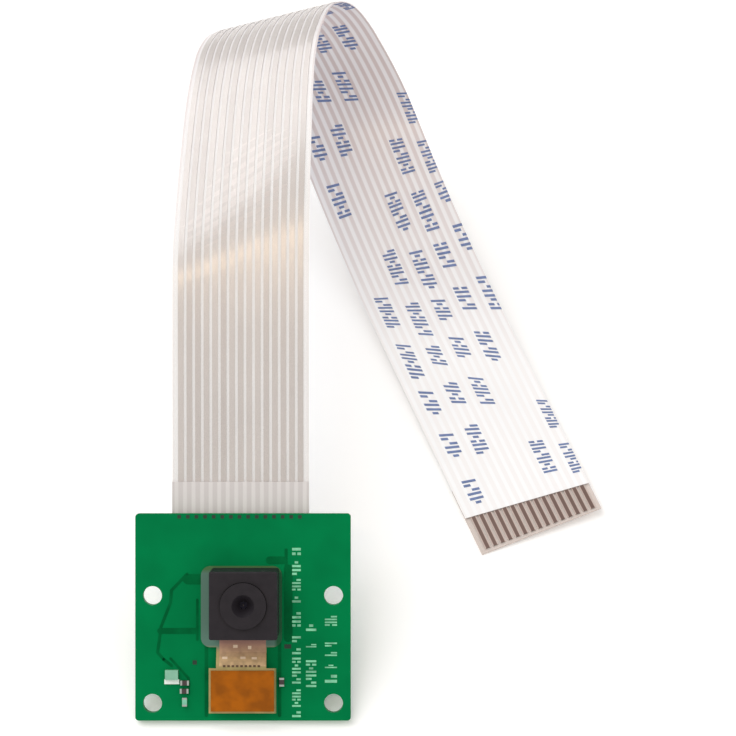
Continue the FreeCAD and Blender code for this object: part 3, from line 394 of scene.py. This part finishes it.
white_film = striped(
    new_material("white_film", (0.93, 0.93, 0.94), 0.3, **FILM), (0.895, 0.875, 0.875), STRIPE_SHARE
)
# painted shade: the white film is darkened and its stripes strengthened near the crest, where the
# bend lies in shade
dim = computed(
    white_film, "MULTIPLY",
    ranged(white_film, ribbon_map(white_film)[1], *CREST_SHADE_COMES),
    ranged(white_film, ribbon_map(white_film)[1], *CREST_SHADE_GOES, 1.0, 0.0),
)
mixed_color(white_film, (0.8, 0.77, 0.79), dim)
striped(white_film, (0.62, 0.53, 0.53), CREST_STRIPE_SHARE, dim)
white_side = ribbon_layer(
    "ribbon_white_side",
    [(BARE, far_bare, -HALF_WIDTH, HALF_WIDTH, -OUTSIDE, -CORE - GLUE)], white_film,
)
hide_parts("ribbon_film_back")

# The ribbon's flat conductors of rolled copper, tinned, and bare at both ends. Each catches the
# light in its own way. The far contacts are tarnished brown along their middle, paler beside
# it, and have no gloss.
CONDUCTOR_WIDTH = 0.66 * MM
COAT_WEIGHT = 0.8
WAY_SHADE = 0.4
TARNISH_HALF = 0.24 * MM
TARNISH_BLUR = 0.05 * MM
tinned_copper = new_material(
    "tinned_copper", (0.58, 0.53, 0.51), 0.42, 0.4, Coat_Roughness=0.13, Coat_IOR=1.8, **FILM
)
conductor_edge = computed(tinned_copper, "ADD", ribbon_map(tinned_copper)[0], PITCH / 2)
way_shade = tinned_copper.node_tree.nodes.new("ShaderNodeTexWhiteNoise")
way_shade.noise_dimensions = "1D"
tinned_copper.node_tree.links.new(
    computed(tinned_copper, "SNAP", conductor_edge, PITCH), way_shade.inputs["W"]
)
mixed_color(
    tinned_copper, (0.44, 0.38, 0.36),
    computed(tinned_copper, "MULTIPLY", way_shade.outputs["Value"], WAY_SHADE),
)
far_reach = (far_bare - TARNISH_BLUR, far_bare + TARNISH_BLUR)
tinned_copper.node_tree.links.new(
    ranged(tinned_copper, ribbon_map(tinned_copper)[1], *far_reach, COAT_WEIGHT, 0.0),
    tinned_copper.node_tree.nodes["Principled BSDF"].inputs["Coat Weight"],
)
at_far_end = ranged(tinned_copper, ribbon_map(tinned_copper)[1], *far_reach)
mixed_color(tinned_copper, (0.57, 0.46, 0.41), at_far_end)
tarnish = ranged(
    tinned_copper, off_conductor(tinned_copper),
    TARNISH_HALF + TARNISH_BLUR, TARNISH_HALF - TARNISH_BLUR,
)
mixed_color(
    tinned_copper, (0.15, 0.092, 0.076), computed(tinned_copper, "MULTIPLY", at_far_end, tarnish)
)
conductor_strips = []
for way in range(WAYS):
    middle = (way - (WAYS - 1) / 2) * PITCH
    left = middle - CONDUCTOR_WIDTH / 2
    right = middle + CONDUCTOR_WIDTH / 2
    conductor_strips.append((0, RIBBON_LENGTH - LEAD, left, right, -CORE, CORE))
conductors = ribbon_layer("ribbon_wires", conductor_strips, tinned_copper)
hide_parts("ribbon_conductors")

# The two stiffeners, strips of thicker film glued on the clear side behind the bare contacts,
# so that each end of the ribbon can be pushed into its connector.
STIFF = 0.35 * MM
STIFFENED = 8.0 * MM
near_film = striped(
    new_material("near_film", (0.85, 0.81, 0.805), 0.35, Alpha=0.85, **FILM),
    (0.735, 0.69, 0.685), STRIPE_SHARE,
)
near_stiffener = ribbon_layer(
    "near_stiffener", [(0, STIFFENED, -HALF_WIDTH, HALF_WIDTH, OUTSIDE + GLUE, STIFF)], near_film
)
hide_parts("ribbon_stiffener_near")
far_film = new_material("far_film", (0.72, 0.6, 0.54), 0.35, Alpha=0.8, **FILM)
far_stiffener = ribbon_layer(
    "far_stiffener",
    [(RIBBON_LENGTH - STIFFENED, RIBBON_LENGTH, -HALF_WIDTH, HALF_WIDTH, OUTSIDE + GLUE, STIFF)],
    far_film,
)
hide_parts("ribbon_stiffener_far")

# The blue ink printed on the white side: generic words of plain strokes that spell nothing, in
# rows along the ribbon. Each row starts further on than the next one, and repeats. Each word
# has its start and its number of marks.
INK_WORDS = ((0.0, 5), (8.3, 5), (15.3, 3), (21.0, 3), (27.2, 4))
INK_ROWS = 5
INK_FIRST_ROW = -5.6
INK_ROW_PITCH = 3.3
INK_START = 120.0
INK_STAGGER = 7.3
INK_REPEAT = 45.0
INK_REPEATS = (-2, -1, 0, 1)
INK_MARGIN = 1.5
INK_RISE = 0.04 * MM
GLYPH_PITCH = 1.12
GLYPH_WIDTH = 0.85
GLYPH_HEIGHT = 1.7
# each mark's strokes, as low and high shares of its width and its height
GLYPHS = (
    ((0.0, 0.35, 0.0, 1.0), (0.6, 0.95, 0.0, 0.5)),
    ((0.0, 0.35, 0.45, 1.0), (0.6, 0.95, 0.0, 1.0)),
    ((0.0, 0.35, 0.0, 1.0), (0.6, 0.95, 0.3, 0.7)),
    ((0.0, 0.35, 0.0, 0.4), (0.0, 0.35, 0.6, 1.0), (0.6, 0.95, 0.0, 1.0)),
)


def glyph_strokes(number, x, y, width, height):
    """A mark's strokes, each as low x, high x, low y and high y."""
    return [
        (x + width * a, x + width * b, y + height * c, y + height * d)
        for a, b, c, d in GLYPHS[number % len(GLYPHS)]
    ]


def ink_row_strips(row):
    """The strokes of one row of the print, as strips on the film between its ends."""
    low_edge = row * INK_ROW_PITCH + INK_FIRST_ROW - GLYPH_HEIGHT / 2
    row_start = INK_START - INK_STAGGER * row
    marks = [
        (number + row, row_start + repeat * INK_REPEAT + word_start + number * GLYPH_PITCH)
        for repeat in INK_REPEATS for word_start, count in INK_WORDS for number in range(count)
    ]
    strips = []
    for number, start in marks:
        if not STIFFENED < start * MM < far_bare - INK_MARGIN * MM:
            continue
        strokes = glyph_strokes(number, start, low_edge, GLYPH_WIDTH, GLYPH_HEIGHT)
        for first, last, low, high in strokes:
            high = min(high * MM, HALF_WIDTH)
            if high > low * MM:
                strips.append(
                    (first * MM, last * MM, low * MM, high, -OUTSIDE - INK_RISE, -OUTSIDE)
                )
    return strips


ink = new_material("ribbon_ink", (0.13, 0.19, 0.38), 0.4)
ink_strips = [strip for row in range(INK_ROWS) for strip in ink_row_strips(row)]
ink_piece = ribbon_layer("ribbon_print", ink_strips, ink)

# The circuit board's copper traces, etched from its foil and coated with the same solder mask
# as the board. They show as darker green lines, flush but for the thickness of the copper. The
# wide line right of the holder is no trace but painted shadow of the holder.
trace_and_shadow_green = new_material(
    "trace_and_shadow_green", (0.0006, 0.125, 0.036), 0.35, mottle=0.15, cell=2.0, Specular_IOR_Level=0.02
)
FRONT = BOARD_THICKNESS
TRACE_RISE = 0.02
TRACE_SIDES = 16
# a line is a little lower than the discs at its ends, so that their faces don't coincide
LINE_RISE = 0.98 * TRACE_RISE
TRACES_AND_SHADOW = (
    (((-6.5, 17.0), (-8.3, 15.1), (-8.4, 13.7), (-9.5, 10.9), (-9.9, 7.9), (-9.2, 7.1)), 0.35),
    (((-9.2, 7.1), (-8.3, 6.4)), 0.35),
    (((-8.4, 7.2), (-6.3, 4.9), (-6.3, 3.1)), 0.3),
    (((-4.25, 0.6), (-4.25, 9.0)), 0.4),
    (((4.25, 0.6), (4.25, 9.0)), 0.4),
    (((-9.6, 10.4), (-5.5, 10.4)), 0.7),
    # painted shadow of the lens holder, drawn as a wide dark line beside it
    (((5.25, 9.6), (5.25, 17.6)), 1.0),
    (((5.0, 17.0), (5.0, 19.8)), 0.35),
    (((-5.3, 9.4), (-5.3, 14.0)), 0.3),
    (((3.1, 18.6), (4.6, 18.6)), 0.9),
    (((-6.4, 16.4), (-5.1, 16.4)), 1.2),
)


def add_trace_end(bm, x, y, width):
    """Adds a flat disc on the board, as the round end or corner of a trace."""
    disc = bmesh.ops.create_cone(
        bm, cap_ends=True, segments=TRACE_SIDES, radius1=width / 2, radius2=width / 2,
        depth=TRACE_RISE,
    )["verts"]
    for vertex in disc:
        local = vertex.co.copy()
        vertex.co = on_board(x + local.x, y + local.y, FRONT + TRACE_RISE / 2 + local.z)


def add_trace_line(bm, start, end, width):
    """Adds a flat line on the board between two points of a trace."""
    start, end = Vector(start), Vector(end)
    along = (end - start).normalized()
    aside = Vector((-along.y, along.x)) * width
    for vertex in bmesh.ops.create_cube(bm, size=1.0)["verts"]:
        local = vertex.co.copy()
        place = (start + end) / 2 + (end - start) * local.x + aside * local.y
        vertex.co = on_board(place.x, place.y, FRONT + TRACE_RISE / 2 + local.z * LINE_RISE)


bm = bmesh.new()
for points, width in TRACES_AND_SHADOW:
    for x, y in points:
        add_trace_end(bm, x, y, width)
    for start, end in zip(points, points[1:]):
        add_trace_line(bm, start, end, width)
traces = new_piece("board_traces_and_shadow", bm, trace_and_shadow_green)

# The board's print, a thin pale ink that is screened over the solder mask: columns of plain
# marks, like small words that run up the board. Each column has its place, its width and the
# reach of its words.
PRINT_RISE = 0.03
PRINT_PITCH = 0.85
PRINT_FILL = 0.8
PRINT_COLUMNS = (
    (6.2, 1.0, ((0.4, 1.3), (1.6, 3.8), (4.3, 7.5), (7.7, 8.6), (9.1, 10.0), (10.9, 12.8),
                (13.7, 14.6), (15.1, 16.6), (16.9, 18.7), (19.2, 20.3))),
    (7.9, 1.2, ((3.9, 7.2), (8.5, 9.0), (10.4, 11.4))),
    (10.2, 1.4, ((4.4, 5.6), (6.1, 6.6), (7.5, 8.1), (8.6, 9.2), (11.0, 12.3))),
)


def board_marks(name, marks, rise, material):
    """A piece made of flat marks on the board's front. Each is x, y, width and height."""
    bm = bmesh.new()
    for x, y, width, height in marks:
        for vertex in bmesh.ops.create_cube(bm, size=1.0)["verts"]:
            local = vertex.co.copy()
            level = FRONT + rise / 2 + local.z * rise
            vertex.co = on_board(x + local.x * width, y + local.y * height, level)
    new_piece(name, bm, material)


print_ink = new_material("print_ink", (0.2, 0.6, 0.36), 0.5, mottle=0.25)
print_marks = []
for x, width, words in PRINT_COLUMNS:
    for low, high in words:
        count = max(1, round((high - low) / PRINT_PITCH))
        pitch = (high - low) / count
        for number in range(count):
            # the words run up the board, so a mark's height lies along X
            strokes = glyph_strokes(
                number + round(low), low + number * pitch, 0, pitch * PRINT_FILL, width
            )
            for first, last, under, over in strokes:
                place = x + width / 2 - (under + over) / 2
                print_marks.append((place, (first + last) / 2, over - under, last - first))
board_marks("board_print", print_marks, PRINT_RISE, print_ink)

# A row of dark dots at the board's top, one at each conductor: painted shadow of the board's
# edge on the ribbon's conductors. Also two larger plated holes beside the tail, filled with
# solder mask.
DOT_ROW = 23.65
DOT_SIDE = 0.42
FILLED_HOLES = [(-5.6, 6.75, 0.5, 0.5), (5.2, 8.6, 0.8, 0.5)]
via_and_shadow_dark = new_material("via_and_shadow_dark", (0.004, 0.03, 0.015), 0.5)
# painted shadow: one dark dot at each conductor along the board's top edge
dots = [(way - (WAYS - 1) / 2 + RIBBON_X, DOT_ROW, DOT_SIDE, DOT_SIDE) for way in range(WAYS)]
board_marks("edge_dots", dots + FILLED_HOLES, TRACE_RISE, via_and_shadow_dark)

# The neck of the flexible tail: a pinkish cover from the lens holder to the end of its climb,
# which fades to the gold of the film, with test pads in it, and a row of small dark solder
# joints where it meets the wide end. The neck climbs in an S.
NECK_START = 8.56
NECK_END = 6.2
NECK_LOW = 1.35
NECK_HIGH = 2.0
NECK_WIDTH = 5.8
NECK_MIDDLE = -0.16
NECK_SPANS = 8
NECK_PULL = 0.5
COVER_LEFT = 0.35 - NECK_WIDTH / 2
COVER_RIGHT = NECK_WIDTH / 2 - 0.05
COVER_REACH = (-0.55, 0.93)
COVER_RISE = 0.02
PAD_RISE = 0.035
PAD_HALF_REACH = 0.07
PADS = ((-0.7, -0.05, 0.5), (0.95, 0.0, 0.4), (-1.9, 0.5, 0.6), (0.2, 0.5, 0.6), (1.5, 0.52, 0.6))
JOINTS = 9
JOINTS_LEFT = -2.1
JOINT_PITCH = 0.5
JOINT_WIDTH = 0.3
JOINT_REACH = (0.88, 0.96)


def neck_level(share):
    """The neck's height up the board and its front face's level, at a share of its climb. Both
    bends of the S are pulled as far along the climb."""
    if share < 0:
        return NECK_START + (NECK_END - NECK_START) * share, NECK_LOW
    pulled = 3 * NECK_PULL * (share * (1 - share) ** 2 + share ** 2 * (1 - share))
    height = NECK_START + (NECK_END - NECK_START) * (pulled + share ** 3)
    return height, NECK_LOW + (NECK_HIGH - NECK_LOW) * (3 * share ** 2 - 2 * share ** 3)


def neck_piece(name, patches, rise, material):
    """A piece of thin closed patches that follow the neck. Each is its left and right edges and
    the two shares of the neck's climb that it reaches."""
    bm = bmesh.new()
    for left, right, start, end in patches:
        for vertex, (across, along, up) in long_block(bm, NECK_SPANS).items():
            height, level = neck_level(start + (end - start) * along)
            x = NECK_MIDDLE + left + (right - left) * across
            vertex.co = on_board(x, height, level + rise * up)
    new_piece(name, bm, material)


def fades_on_board(material, color, direction, low, high):
    """Fades a material to a colour between two places on the board, along a direction of it."""
    tree = material.node_tree
    coords = tree.nodes.new("ShaderNodeTexCoord")
    reach = tree.nodes.new("ShaderNodeVectorMath")
    reach.operation = "DOT_PRODUCT"
    reach.inputs[1].default_value = direction
    tree.links.new(coords.outputs["Object"], reach.inputs[0])
    edge = BACK_EDGE.dot(direction)
    share = ranged(material, reach.outputs["Value"], edge + low * MM, edge + high * MM)
    mixed_color(material, color, share)


neck_cover = new_material(
    "neck_cover", (0.56, 0.38, 0.2), 0.45, mottle=0.15, cell=0.7, Specular_IOR_Level=0.3
)
fades_on_board(neck_cover, (0.4, 0.21, 0.165), UP, low=7.2, high=9.2)
pad_peach = new_material("pad_peach", (0.85, 0.66, 0.48), 0.4)
joint_dark = new_material("joint_dark", (0.1, 0.05, 0.02), 0.5)
neck_piece("neck_cover", [(COVER_LEFT, COVER_RIGHT, *COVER_REACH)], COVER_RISE, neck_cover)
pad_patches = [
    (x - width / 2, x + width / 2, share - PAD_HALF_REACH, share + PAD_HALF_REACH)
    for x, share, width in PADS
]
neck_piece("neck_pads", pad_patches, PAD_RISE, pad_peach)
joint_edges = [JOINTS_LEFT + number * JOINT_PITCH for number in range(JOINTS)]
joint_patches = [(left, left + JOINT_WIDTH, *JOINT_REACH) for left in joint_edges]
neck_piece("neck_joints", joint_patches, PAD_RISE, joint_dark)

# The finish of each piece that the imported part brings, by its material slot. The tail is amber
# at its wide end and grey-green under the sensor. Above and right of the holder it is painted
# darker: painted shadow of the holder.
polyimide = new_material("polyimide", (0.42, 0.34, 0.14), 0.4, Specular_IOR_Level=0.25)
fades_on_board(polyimide, (0.1, 0.2, 0.155), UP, low=8.0, high=8.8)
# painted shadow: the tail darkens right of the holder and along its top, where the holder's shadow
# falls
fades_on_board(polyimide, (0.012, 0.11, 0.04), RIGHT, low=3.6, high=4.0)
fades_on_board(polyimide, (0.06, 0.15, 0.05), UP, low=17.1, high=17.6)
SLOT_FINISHES = {
    "board": new_material(
        "board_green", (0.0006, 0.195, 0.06), 0.35, mottle=0.07, cell=5.0, Specular_IOR_Level=0.02
    ),
    "foam": new_material("foam", (0.03, 0.03, 0.03), 0.9, grain=0.5),
    "polyimide": polyimide,
    "polyimide_plate": new_material(
        "polyimide_plate", (0.35, 0.094, 0.001), 0.42, mottle=0.2, cell=1.8, Specular_IOR_Level=0.15
    ),
    "black_moulding": new_material(
        "black_moulding", (0.016, 0.013, 0.017), 0.55, grain=0.3, Specular_IOR_Level=0.25
    ),
    "cream_moulding": new_material("cream_moulding", (0.75, 0.68, 0.55), 0.5, grain=0.2),
    "gold": new_material("gold", (0.8, 0.55, 0.2), 0.3, 1.0),
    "silicon": new_material("silicon", (0.08, 0.08, 0.1), 0.2, 0.3),
    "clear_glass": new_material("clear_glass", (0.9, 0.95, 0.95), 0.08, Alpha=0.35),
    "filter_glass": new_material("filter_glass", (0.7, 0.3, 0.4), 0.08, Alpha=0.5),
    "lens_plastic": new_material(
        "lens_plastic", (0.012, 0.01, 0.02), 0.1, Alpha=0.9, Specular_IOR_Level=0.12
    ),
    "ceramic_tan": new_material("ceramic_tan", (0.4, 0.25, 0.14), 0.5),
    "ceramic_black": new_material("ceramic_black", (0.05, 0.035, 0.035), 0.4),
    "ceramic_grey": new_material("ceramic_grey", (0.2, 0.19, 0.18), 0.5),
    "solder_metal": new_material("solder_metal", (0.5, 0.56, 0.53), 0.35, 0.8),
    "lid_metal": new_material("lid_metal", (0.7, 0.66, 0.58), 0.3, 0.9),
    "led_white": new_material("led_white", (0.24, 0.5, 0.36), 0.35),
    "clear_film": clear_film,
    "white_film": white_film,
    "tinned_copper": tinned_copper,
    "stiffener_film": near_film,
}
# The lamp's terminal is painted pale, a painted reflection of its solder fillet, and the front
# capacitor is pale green.
OWN_FINISHES = {
    # painted reflection: the solder's bright glint is painted as a pale diffuse colour
    "led_terminal": new_material("lamp_solder_reflection", (0.85, 0.93, 0.88), 0.5),
    "front_capacitors": new_material("pale_ceramic", (0.2, 0.55, 0.38), 0.5),
}
slot_of = {part["node"]: part["material_slot"] for part in frame["record"]["subparts"]}
for name, piece in nodes.items():
    piece.data.materials.clear()
    piece.data.materials.append(OWN_FINISHES.get(name, SLOT_FINISHES[slot_of[name]]))

# The table and the soft light: a pale floor, a broad lamp above at the left, a dim one at the
# right, and a white sky. A narrow warm lamp shows as a slanted band on the ribbon where it
# starts to bend.
FLOOR_HALF = 1.5
WHITE = (1.0, 1.0, 1.0)
WARM = (1.0, 0.74, 0.46)
SKY_STRENGTH = 0.56
LOOP_MIDDLE = Vector((0.015, 0.03, 0.01))
floor_mesh = bpy.data.meshes.new("floor")
bm = bmesh.new()
bmesh.ops.create_grid(bm, x_segments=1, y_segments=1, size=FLOOR_HALF)
bm.to_mesh(floor_mesh)
bm.free()
floor = bpy.data.objects.new("floor", floor_mesh)
bpy.context.scene.collection.objects.link(floor)
floor_white = new_material(
    "floor_white", (0.95, 0.95, 0.95), 0.7, mottle=0, uneven=0, Emission_Color=(*WHITE, 1.0),
    Emission_Strength=0.13,
)
floor_mesh.materials.append(floor_white)


def lamp(name, position, width, depth, power, color=WHITE):
    """A soft rectangular lamp that points at the middle of the ribbon's loop."""
    data = bpy.data.lights.new(name, "AREA")
    data.shape = "RECTANGLE"
    data.size = width
    data.size_y = depth
    data.energy = power
    data.color = color
    light = bpy.data.objects.new(name, data)
    light.location = position
    light.rotation_euler = (LOOP_MIDDLE - light.location).to_track_quat("-Z", "Y").to_euler()
    bpy.context.scene.collection.objects.link(light)


lamp("key", (-0.42, 0.31, 0.7), width=0.8, depth=0.9, power=4.9)
lamp("fill", (0.5, -0.2, 0.5), width=0.6, depth=0.6, power=0.8)
lamp("warm_strip", (-0.05, -0.25, 0.7), width=0.34, depth=0.065, power=0.5, color=WARM)
world = bpy.data.worlds.new("studio")
world.use_nodes = True
sky = world.node_tree.nodes["Background"]
sky.inputs["Color"].default_value = (*WHITE, 1.0)
sky.inputs["Strength"].default_value = SKY_STRENGTH
bpy.context.scene.world = world
bpy.context.scene.view_settings.view_transform = "Standard"
